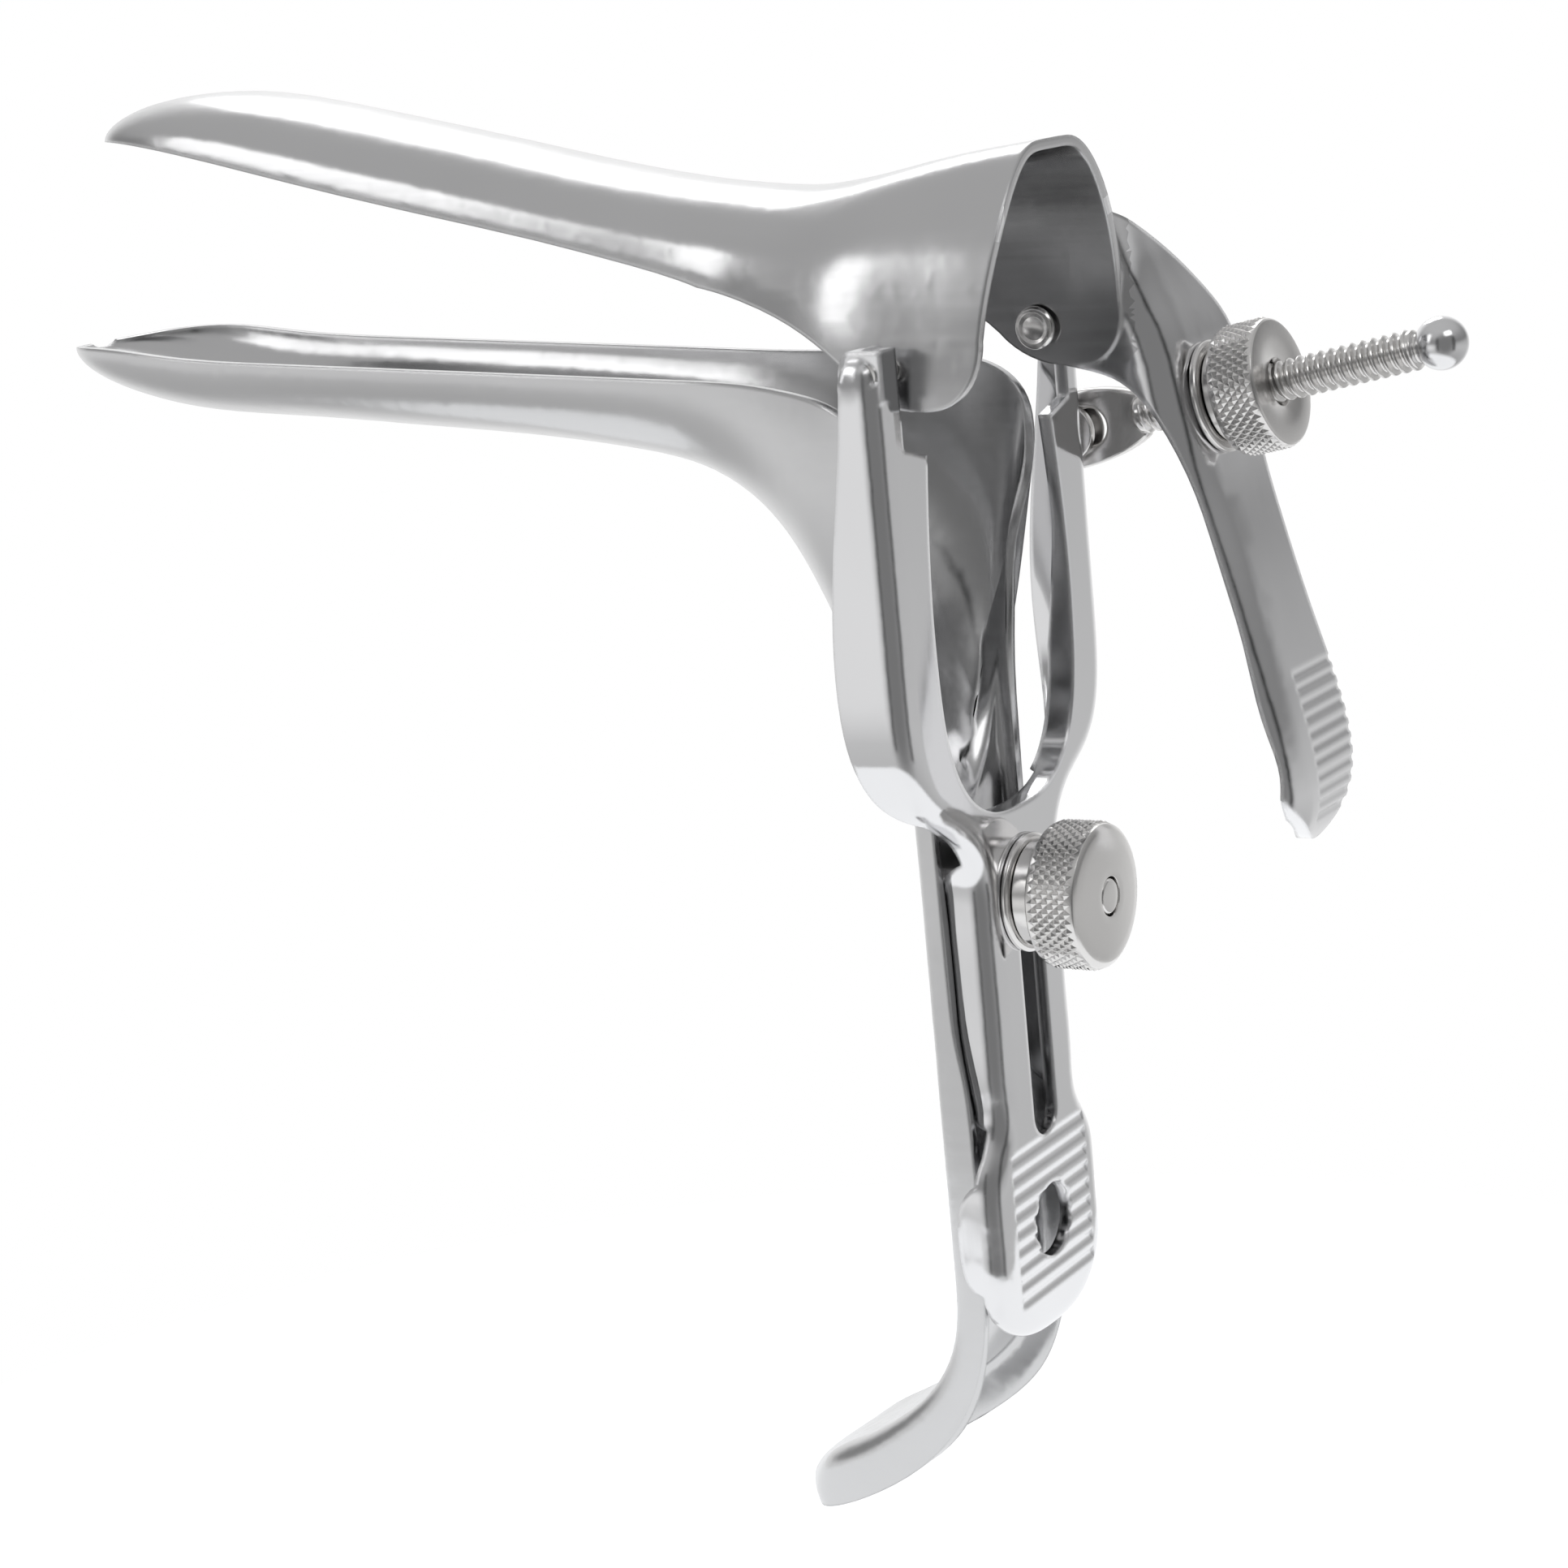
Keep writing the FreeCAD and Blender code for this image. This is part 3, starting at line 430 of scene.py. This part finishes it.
def thread(name, root, crest, start, turns):
    """Root and crest are radii; the outline gives distance along the screw and radius."""
    low_flank = root + 0.30 * (crest - root)
    high_flank = root + 0.8 * (crest - root)
    outline = [(0.0, root), (0.12, root + 0.02), (0.3, low_flank), (0.42, high_flank)]
    outline += [(0.56, crest - 0.02), (0.69, crest - 0.02), (0.83, high_flank), (0.95, low_flank)]
    outline += [(1.13, root + 0.02), (PITCH, root)]
    piece = single_vertex(name, (root * MM, 0, start * MM))
    for first, second in zip(outline, outline[1:]):
        move = ((second[1] - first[1]) * MM, 0, (second[0] - first[0]) * MM)
        bpy.ops.mesh.extrude_region_move(TRANSFORM_OT_translate={"value": move})
    bpy.ops.object.mode_set(mode="OBJECT")
    sweep = piece.modifiers.new("sweep", "SCREW")
    sweep.axis = "Z"
    sweep.screw_offset = PITCH * MM
    sweep.iterations = turns
    sweep.steps = STEPS
    sweep.render_steps = STEPS
    sweep.use_merge_vertices = True
    sweep.merge_threshold = 0.001 * MM
    bpy.ops.object.modifier_apply(modifier=sweep.name)
    bpy.ops.object.mode_set(mode="EDIT")
    bpy.ops.mesh.select_all(action="SELECT")
    bpy.ops.mesh.remove_doubles(threshold=MERGE)
    bpy.ops.mesh.select_all(action="DESELECT")
    bpy.ops.mesh.select_mode(type="EDGE")
    bpy.ops.mesh.select_non_manifold()
    bpy.ops.mesh.fill_holes(sides=0)
    bpy.ops.mesh.select_all(action="SELECT")
    bpy.ops.mesh.normals_make_consistent(inside=False)
    bpy.ops.object.mode_set(mode="OBJECT")
    return piece


rod_thread = thread("rod_thread", 1.72, 2.3, 9.2, TURNS)
print("thread has", len(rod_thread.data.polygons), "faces")

# %% [markdown]
# ## Eye of the angle screw
# The forward end of the rod is forged flat, with a long hole that rides on the
# rivet. A circle stretched along the screw and cut off square gives its outline,
# a long cutter takes out the hole, and a bevel rounds the rims.

# %% Flat eye with a long hole
def cut(piece, cutter):
    choose(piece)
    boolean = piece.modifiers.new("cut", "BOOLEAN")
    boolean.object = cutter
    boolean.solver = "EXACT"
    bpy.ops.object.modifier_apply(modifier=boolean.name)
    bpy.data.objects.remove(cutter)


EYE_RADIUS = 4.4
EYE_STRETCH = 2.55
EYE_END = 9.4 * MM
EYE_THICK = 2.0 * MM
HOLE_RADIUS = 2.1
HOLE_LONGER = 2.5 * MM
eye_plate = circle("eye_plate", EYE_RADIUS, 64)
bpy.ops.object.mode_set(mode="EDIT")
select_where(eye_plate, lambda co: co.x > 0)
bpy.ops.transform.resize(value=(EYE_STRETCH, 1, 1), center_override=(0, 0, 0))
bpy.ops.mesh.select_all(action="SELECT")
bpy.ops.mesh.bisect(
    plane_co=(EYE_END, 0, 0), plane_no=(1, 0, 0), clear_outer=True, use_fill=False)
bpy.ops.mesh.select_all(action="SELECT")
bpy.ops.mesh.extrude_region_move(TRANSFORM_OT_translate={"value": (0, 0, EYE_THICK)})
bpy.ops.mesh.select_all(action="SELECT")
bpy.ops.transform.translate(value=(0, 0, -EYE_THICK / 2))
bpy.ops.mesh.normals_make_consistent(inside=False)
bpy.ops.object.mode_set(mode="OBJECT")

hole = circle("hole", HOLE_RADIUS, 40)
bpy.ops.object.mode_set(mode="EDIT")
select_where(hole, lambda co: co.x > 0)
bpy.ops.transform.translate(value=(HOLE_LONGER, 0, 0))
bpy.ops.mesh.select_all(action="SELECT")
bpy.ops.transform.translate(value=(0, 0, -1.5 * EYE_THICK))
bpy.ops.mesh.extrude_region_move(TRANSFORM_OT_translate={"value": (0, 0, 3 * EYE_THICK)})
bpy.ops.mesh.select_all(action="SELECT")
bpy.ops.mesh.normals_make_consistent(inside=False)
bpy.ops.object.mode_set(mode="OBJECT")
cut(eye_plate, hole)
soften(eye_plate, 0.4, 4)
lay(eye_plate, columns(along, upward, -right, eye))
print("eye has", len(eye_plate.data.polygons), "faces")

# %% [markdown]
# The thread stands on a plain core. A neck joins the core to the eye, and a
# collar ends it just before the ball.

# %% Neck, core and collar of the screw
neck = turned("neck", [(7.9, 0.9), (8.3, 1.7), (8.9, 2.2), (9.6, 2.25), (10.0, 1.75)], edge=0.1)
core = turned("core", [(9.0, 1.6), (42.6, 1.6), (43.4, 1.45)], edge=0.05)
collar = turned("collar", [(41.6, 1.7), (41.8, 2.1), (42.3, 2.1), (42.5, 1.75)], edge=0.08)
for piece in (neck, core, collar, rod_thread):
    lay(piece, on_angle)
angle_screw = unite("angle_screw_threaded", [rod_thread, eye_plate, neck, core, collar])
dress(angle_screw, machined_steel)
print("angle screw is", round(angle_screw.dimensions.length / MM, 1), "mm corner to corner")

# %% [markdown]
# ## Ball at the end of the screw
# The ball keeps the nut from leaving the rod. It is turned with a short neck.

# %% Stop ball
BALL_AT = 45.2
BALL_RADIUS = 2.9
ball_profile = [(42.55, 1.46)]
for degrees in range(30, 180, 6):
    angle = math.radians(degrees)
    ball_profile.append((BALL_AT - BALL_RADIUS * math.cos(angle), BALL_RADIUS * math.sin(angle)))
ball_profile.append((BALL_AT + BALL_RADIUS, 0.02))
stop_ball = turned("stop_ball_turned", ball_profile, edge=0.02)
lay(stop_ball, on_angle)
dress(stop_ball, mirror_steel)
print("ball is", round(stop_ball.dimensions.x / MM, 2), "mm wide")

# %% [markdown]
# ## Washers, stud and rivets
# These are plain turned pieces. Both washers have rounded rims, the stud ends
# flush in the nut's crowned face, and every rivet has a low formed head.

# %% Washers
clamp_ring = [(0.06, 2.12), (0.06, 6.45), (0.3, 6.6), (0.62, 6.58), (0.92, 6.2), (0.94, 2.12)]
clamp_ring += [(0.06, 2.12)]
clamp_washer = turned("clamp_washer_turned", clamp_ring, closed=True, edge=0.08)
lay(clamp_washer, on_clamp)
thrust_ring = [(18.16, 2.36), (18.16, 6.1), (18.4, 6.3), (18.8, 6.28), (19.03, 6.0)]
thrust_ring += [(19.04, 2.36), (18.16, 2.36)]
thrust_washer = turned("thrust_washer_turned", thrust_ring, closed=True, edge=0.08)
lay(thrust_washer, on_angle)
for washer in (clamp_washer, thrust_washer):
    dress(washer, machined_steel)
print("two washers made")

# %% [markdown]
# The stud's head shows on the front of the handle, its end in the nut's crown.

# %% Clamp stud
stud_profile = [(-9.35, 2.9), (-9.2, 3.2), (-8.7, 3.1), (-8.25, 2.2), (-7.6, 2.03)]
stud_profile += [(8.9, 2.03), (9.9, 1.95), (10.1, 1.75), (10.18, 0.9)]
clamp_stud = turned("clamp_stud_turned", stud_profile, edge=0.06)
lay(clamp_stud, on_clamp)
dress(clamp_stud, machined_steel)
print("stud made")

# %% [markdown]
# Each pivot rivet has its head on the inner side of an ear. Its pin runs outwards
# into the yoke's arm.

# %% Pivot rivets
def pivot_rivet(name, side):
    """A rivet whose head has a punched middle. The side is 1 on the right and -1 on the left."""
    profile = [(14.8, 0.7), (14.95, 1.3), (14.82, 1.75), (14.95, 2.15), (15.2, 2.36), (15.49, 2.4)]
    profile += [(15.5, 1.2), (22.0, 1.2)]
    rivet = turned(name, profile, edge=0.05)
    lay(rivet, columns(Vector((0, side, 0)), above, Vector((side, 0, 0)), PIVOT))
    dress(rivet, machined_steel)
    return rivet


rivet_right = pivot_rivet("pivot_rivet_right_formed", 1)
rivet_left = pivot_rivet("pivot_rivet_left_formed", -1)

# %% [markdown]
# The eye rivet carries the eye of the screw between a spacer and a cap.

# %% Eye rivet
spacer = [(-3.6, 1.39), (-2.06, 1.39), (-2.05, 3.1), (-1.95, 3.2), (-1.05, 3.2), (-1.03, 2.05)]
cap = [(1.06, 2.05), (1.06, 3.2), (1.2, 3.3), (1.5, 3.1), (1.8, 2.6), (1.93, 1.9), (1.95, 0.9)]
eye_rivet = turned("eye_rivet_formed", spacer + cap, edge=0.05)
lay(eye_rivet, columns(-rearward, above, right, eye))
dress(eye_rivet, machined_steel)
print("eye rivet made")

# %% [markdown]
# ## Which body carries each piece
# A dressed piece moves with the body of the solid that it stands for, and the
# solid itself is hidden.

# %% Ride and replace
dressed = [
    (clamp_nut, "clamp_nut", "clamp_nut"),
    (clamp_washer, "clamp_washer", "clamp_washer"),
    (clamp_stud, "clamp_stud", "lower"),
    (angle_nut, "angle_nut", "angle_nut"),
    (thrust_washer, "thrust_washer", "thrust"),
    (angle_screw, "angle_screw", "screw"),
    (stop_ball, "stop_ball", "screw"),
    (rivet_right, "pivot_rivet_right", "yoke"),
    (rivet_left, "pivot_rivet_left", "yoke"),
    (eye_rivet, "eye_rivet", "yoke"),
]
for piece, node, body in dressed:
    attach(piece, body)
    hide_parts(node)
    print(piece.name, "stands for", node, "and rides on", body)

# %% [markdown]
# ## Studio
# The instrument is held upright over plain white, with soft light all round.
# The floor lies just below the lowest place that the lower blade can reach.

# %% World and floor
AMBIENT = 0.75
FLOOR_GLOW = 0.7
scene = bpy.context.scene
scene.view_settings.view_transform = "Standard"
world = bpy.data.worlds.new("studio")
scene.world = world
world.use_nodes = True
tree = world.node_tree
tree.nodes.clear()
output = tree.nodes.new("ShaderNodeOutputWorld")
ambient = tree.nodes.new("ShaderNodeBackground")
ambient.inputs["Color"].default_value = (0.9, 0.93, 0.96, 1)
ambient.inputs["Strength"].default_value = AMBIENT
backdrop = tree.nodes.new("ShaderNodeBackground")
backdrop.inputs["Color"].default_value = (1, 1, 1, 1)
backdrop.inputs["Strength"].default_value = 1.0


def seen_ray(tree):
    """1 for rays from the camera, from glossy metal and through glass."""
    light_path = tree.nodes.new("ShaderNodeLightPath")
    first = tree.nodes.new("ShaderNodeMath")
    first.operation = "MAXIMUM"
    tree.links.new(light_path.outputs["Is Camera Ray"], first.inputs[0])
    tree.links.new(light_path.outputs["Is Glossy Ray"], first.inputs[1])
    second = tree.nodes.new("ShaderNodeMath")
    second.operation = "MAXIMUM"
    tree.links.new(first.outputs["Value"], second.inputs[0])
    tree.links.new(light_path.outputs["Is Transmission Ray"], second.inputs[1])
    return second.outputs["Value"]


choice = tree.nodes.new("ShaderNodeMixShader")
tree.links.new(seen_ray(tree), choice.inputs["Fac"])
tree.links.new(ambient.outputs["Background"], choice.inputs[1])
tree.links.new(backdrop.outputs["Background"], choice.inputs[2])
tree.links.new(choice.outputs["Shader"], output.inputs["Surface"])

deselect()
FLOOR_RADIUS = 0.18
FLOOR_AT = (0, 0.03, -61.5 * MM)
bpy.ops.mesh.primitive_circle_add(
    vertices=ROUND, radius=FLOOR_RADIUS, fill_type="NGON", location=FLOOR_AT)
floor = bpy.context.object
floor.name = "floor"
floor_paint = bpy.data.materials.new("white_floor")
floor_paint.use_nodes = True
tree = floor_paint.node_tree
paint = tree.nodes["Principled BSDF"]
paint.inputs["Base Color"].default_value = (0.5, 0.5, 0.5, 1)
paint.inputs["Roughness"].default_value = 0.9
paint.inputs["Specular IOR Level"].default_value = 0.0
glow = tree.nodes.new("ShaderNodeEmission")
glow.inputs["Strength"].default_value = FLOOR_GLOW
both_parts = tree.nodes.new("ShaderNodeAddShader")
tree.links.new(paint.outputs["BSDF"], both_parts.inputs[0])
tree.links.new(glow.outputs["Emission"], both_parts.inputs[1])
choice = tree.nodes.new("ShaderNodeMixShader")
tree.links.new(seen_ray(tree), choice.inputs["Fac"])
tree.links.new(paint.outputs["BSDF"], choice.inputs[1])
tree.links.new(both_parts.outputs["Shader"], choice.inputs[2])
tree.links.new(choice.outputs["Shader"], tree.nodes["Material Output"].inputs["Surface"])
dress(floor, floor_paint)
print("floor at", round(floor.location.z / MM, 2), "mm")

# %% [markdown]
# Three soft area lamps point at the middle of the object. Their sizes are in
# metres and their power is in watts.

# %% Soft lamps
middle = Vector((0, 0.035, 0.05))


def lamp(name, at, width, height, power):
    deselect()
    bpy.ops.object.light_add(type="AREA", location=at)
    light = bpy.context.object
    light.name = name
    light.data.shape = "RECTANGLE"
    light.data.size = width
    light.data.size_y = height
    light.data.energy = power
    light.rotation_euler = (middle - Vector(at)).to_track_quat("-Z", "Y").to_euler()
    print(name, "at", at)


lamp("key", (-0.5, -0.9, 1.1), 0.7, 0.4, 1.7)
lamp("side", (-1.1, 0.9, 0.7), 0.35, 0.8, 1.5)
lamp("back", (0.9, 0.6, 0.9), 0.6, 0.6, 2.5)

# %% [markdown]
# ## What the steel reflects
# Polished steel shows its surroundings, so a grey tent encloses the set. It is
# white behind the object, grey to the sides, and dim on the photographer's side.
# Only reflections see it, so it neither lights the floor nor shows in the
# picture. Two black cards draw the dark lines along the folds.

# %% Grey tent and black cards
def only_reflected(piece):
    piece.visible_camera = False
    piece.visible_diffuse = False
    piece.visible_shadow = False
    piece.visible_transmission = False


def glowing(name):
    paint = bpy.data.materials.new(name)
    paint.use_nodes = True
    tree = paint.node_tree
    tree.nodes.clear()
    output = tree.nodes.new("ShaderNodeOutputMaterial")
    flat = tree.nodes.new("ShaderNodeEmission")
    tree.links.new(flat.outputs["Emission"], output.inputs["Surface"])
    return paint, tree, flat


TENT_RADIUS = 3.0
# Height as sine of the elevation, from -1 to 1, and the tone seen there.
LEFT_TONES = [(-1, 0.50), (-0.65, 0.58), (-0.36, 0.66), (-0.2, 0.9), (-0.06, 0.9)]
LEFT_TONES += [(0.1, 0.34), (0.3, 0.32), (0.55, 0.50), (0.83, 0.56), (1, 0.56)]
RIGHT_TONES = [(-1, 0.42), (-0.6, 0.50), (-0.22, 0.62), (0.0, 0.50)]
RIGHT_TONES += [(0.14, 0.24), (0.4, 0.32), (0.7, 0.50), (1, 0.56)]
DIM_TONE = (0.22, 0.22, 0.22, 1)
WHITE_TONE = (1.0, 1.0, 1.0, 1)
LEFT_WAY = (-0.65, 0.76, 0.0)
CAMERA_WAY = (-0.82, -0.57, 0.0)
BACKDROP_WAY = (0.84, 0.54, 0.0)

deselect()
bpy.ops.mesh.primitive_uv_sphere_add(segments=64, ring_count=32, radius=TENT_RADIUS)
tent = bpy.context.object
tent.name = "grey_tent"
paint, tree, flat = glowing("tent_cloth")
place = tree.nodes.new("ShaderNodeTexCoord")
parts = tree.nodes.new("ShaderNodeSeparateXYZ")
tree.links.new(place.outputs["Object"], parts.inputs["Vector"])
height = tree.nodes.new("ShaderNodeMapRange")
height.inputs["From Min"].default_value = -TENT_RADIUS
height.inputs["From Max"].default_value = TENT_RADIUS
tree.links.new(parts.outputs["Z"], height.inputs["Value"])


def tones_by_height(tones):
    node = tree.nodes.new("ShaderNodeValToRGB")
    ramp = node.color_ramp.elements
    for element, (spot, tone) in zip((ramp[0], ramp[1]), (tones[0], tones[-1])):
        element.position = (spot + 1) / 2
        element.color = (tone, tone, tone, 1)
    for spot, tone in tones[1:-1]:
        ramp.new((spot + 1) / 2).color = (tone, tone, tone, 1)
    tree.links.new(height.outputs["Result"], node.inputs["Fac"])
    return node.outputs["Color"]


def towards(way, low, high):
    """0 away from a direction and 1 towards it, with a soft change between."""
    facing = tree.nodes.new("ShaderNodeVectorMath")
    facing.operation = "DOT_PRODUCT"
    facing.inputs[1].default_value = way
    tree.links.new(place.outputs["Object"], facing.inputs[0])
    soft = tree.nodes.new("ShaderNodeMapRange")
    soft.interpolation_type = "SMOOTHSTEP"
    soft.inputs["From Min"].default_value = low * TENT_RADIUS
    soft.inputs["From Max"].default_value = high * TENT_RADIUS
    tree.links.new(facing.outputs["Value"], soft.inputs["Value"])
    return soft.outputs["Result"]


def blended(factor, first, second):
    node = tree.nodes.new("ShaderNodeMix")
    node.data_type = "RGBA"
    tree.links.new(factor, node.inputs["Factor"])
    for socket, colour in (("A", first), ("B", second)):
        if isinstance(colour, tuple):
            node.inputs[socket].default_value = colour
        else:
            tree.links.new(colour, node.inputs[socket])
    return node.outputs["Result"]


sides = blended(
    towards(LEFT_WAY, -0.25, 0.3), tones_by_height(RIGHT_TONES), tones_by_height(LEFT_TONES))
dim = blended(towards(CAMERA_WAY, 0.55, 0.95), sides, DIM_TONE)
cloth = blended(towards(BACKDROP_WAY, 0.45, 0.95), dim, WHITE_TONE)
tree.links.new(cloth, flat.inputs["Color"])
dress(tent, paint)
only_reflected(tent)
print("tent radius", TENT_RADIUS, "m")

BLACK = 0.02


def card(name, at, width, height, shade):
    deselect()
    bpy.ops.mesh.primitive_plane_add(size=1, location=at)
    piece = bpy.context.object
    piece.name = name
    piece.scale = (width, height, 1)
    piece.rotation_euler = (middle - Vector(at)).to_track_quat("Z", "Y").to_euler()
    bpy.ops.object.transform_apply(location=True, rotation=True, scale=True)
    paint, tree, flat = glowing(name)
    flat.inputs["Color"].default_value = (shade, shade, shade, 1)
    dress(piece, paint)
    only_reflected(piece)
    print(name, "at", at)


card("black_card_rear", (-0.35, -1.3, 0.1), 0.22, 1.4, BLACK)
card("black_card_left", (-1.3, -0.1, 0.1), 0.16, 1.4, BLACK)

# %% [markdown]
# ## Camera
# The photograph was taken from the operator's left and behind, a little above,
# with a long lens, turned a little. The place and the turns were found from the
# perspective of the blades, the yoke and the screws.

# %% Camera at the photograph's place
TURN = math.radians(-57.6)
LIFT = math.radians(12.6)
ROLL = math.radians(5.5)
CAMERA_AT = Vector((-340.41, -185.89, 138.94)) * MM
# The lens and the sensor's width are in millimetres.
LENS = 83.85
SENSOR = 36.0
flat_way = math.cos(LIFT)
back = Vector((math.sin(TURN) * flat_way, -math.cos(TURN) * flat_way, math.sin(LIFT)))
level = Vector((math.cos(TURN), math.sin(TURN), 0))
over = back.cross(level)
camera_right = math.cos(ROLL) * level - math.sin(ROLL) * over
camera_up = math.sin(ROLL) * level + math.cos(ROLL) * over
deselect()
bpy.ops.object.camera_add()
camera = bpy.context.object
camera.name = "photo_camera"
camera.matrix_world = columns(camera_right, camera_up, back, CAMERA_AT)
camera.data.sensor_width = SENSOR
camera.data.lens = LENS
camera.data.clip_start = 0.01
scene.camera = camera
print("camera looks along", [round(v, 3) for v in -back])
